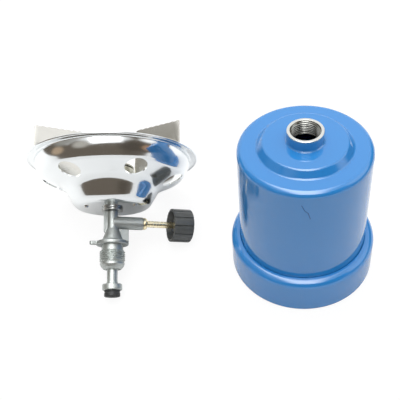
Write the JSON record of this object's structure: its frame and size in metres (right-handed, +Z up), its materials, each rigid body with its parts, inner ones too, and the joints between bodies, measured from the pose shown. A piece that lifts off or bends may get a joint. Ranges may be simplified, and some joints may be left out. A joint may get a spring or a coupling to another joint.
{
  "type": "camping gas stove",
  "caption": "Small camping gas stove taken apart: blue cartridge holder, and beside it the valve and burner with a chromed dish and pan supports.",
  "frame": {"origin": "where the cartridge holder's axis meets the floor, in the middle of the base cap's underside", "axes": "+Z up along the cartridge holder's axis, +X from the burner unit towards the holder, +Y away from the viewer of the picture"},
  "size_m": [0.2636, 0.1736, 0.1291],
  "materials": {
    "blue_enamel": "gloss blue paint on steel sheet",
    "zinc_plate": "bright zinc-plated steel",
    "zinc_casting": "satin die casting",
    "chromed_steel": "bright chrome plate on pressed steel",
    "steel": "plain steel",
    "brass": "turned brass",
    "black_rubber": "matt black rubber",
    "black_plastic": "satin black moulding"
  },
  "bodies": {
    "base": {"base_cap": "blue_enamel", "needle_seal": "black_rubber", "piercing_needle": "steel", "inlet_filter": "brass", "valve_body": "zinc_casting", "packing_gland": "brass", "gas_jet": "brass", "mixing_tube": "steel", "dish": "chromed_steel", "dish_lock_nut": "zinc_plate", "burner_cup": "brass", "burner_flame_ring": "steel", "burner_cap": "brass", "pan_support_1": "zinc_plate", "pan_support_2": "zinc_plate", "pan_support_3": "zinc_plate"},
    "holder": {"holder_shell": "blue_enamel", "threaded_collar": "zinc_plate", "collar_washer": "zinc_plate"},
    "spindle_seal": {"spindle_o_ring": "black_rubber"},
    "spindle": {"spindle": "brass", "knob": "black_plastic"}
  },
  "joints": [
    {"name": "holder_lift", "type": "slide", "parent": "base", "child": "holder", "axis": [0, 0, 1], "range_m": [0, 0.03]},
    {"name": "spindle_travel", "type": "slide", "parent": "base", "child": "spindle_seal", "axis": [0.9335, 0.1082, -0.3417], "range_m": [0, 0.0018]},
    {"name": "knob_turn", "type": "hinge", "parent": "spindle_seal", "child": "spindle", "pos_m": [-0.14575, 0.02548, 0.0342], "axis": [0.9335, 0.1082, -0.3417], "range_deg": [0, 540]}
  ],
  "couplings": [
    {"joint": "spindle_travel", "follows": "knob_turn", "m_per_rad": 0.00015915}
  ]
}
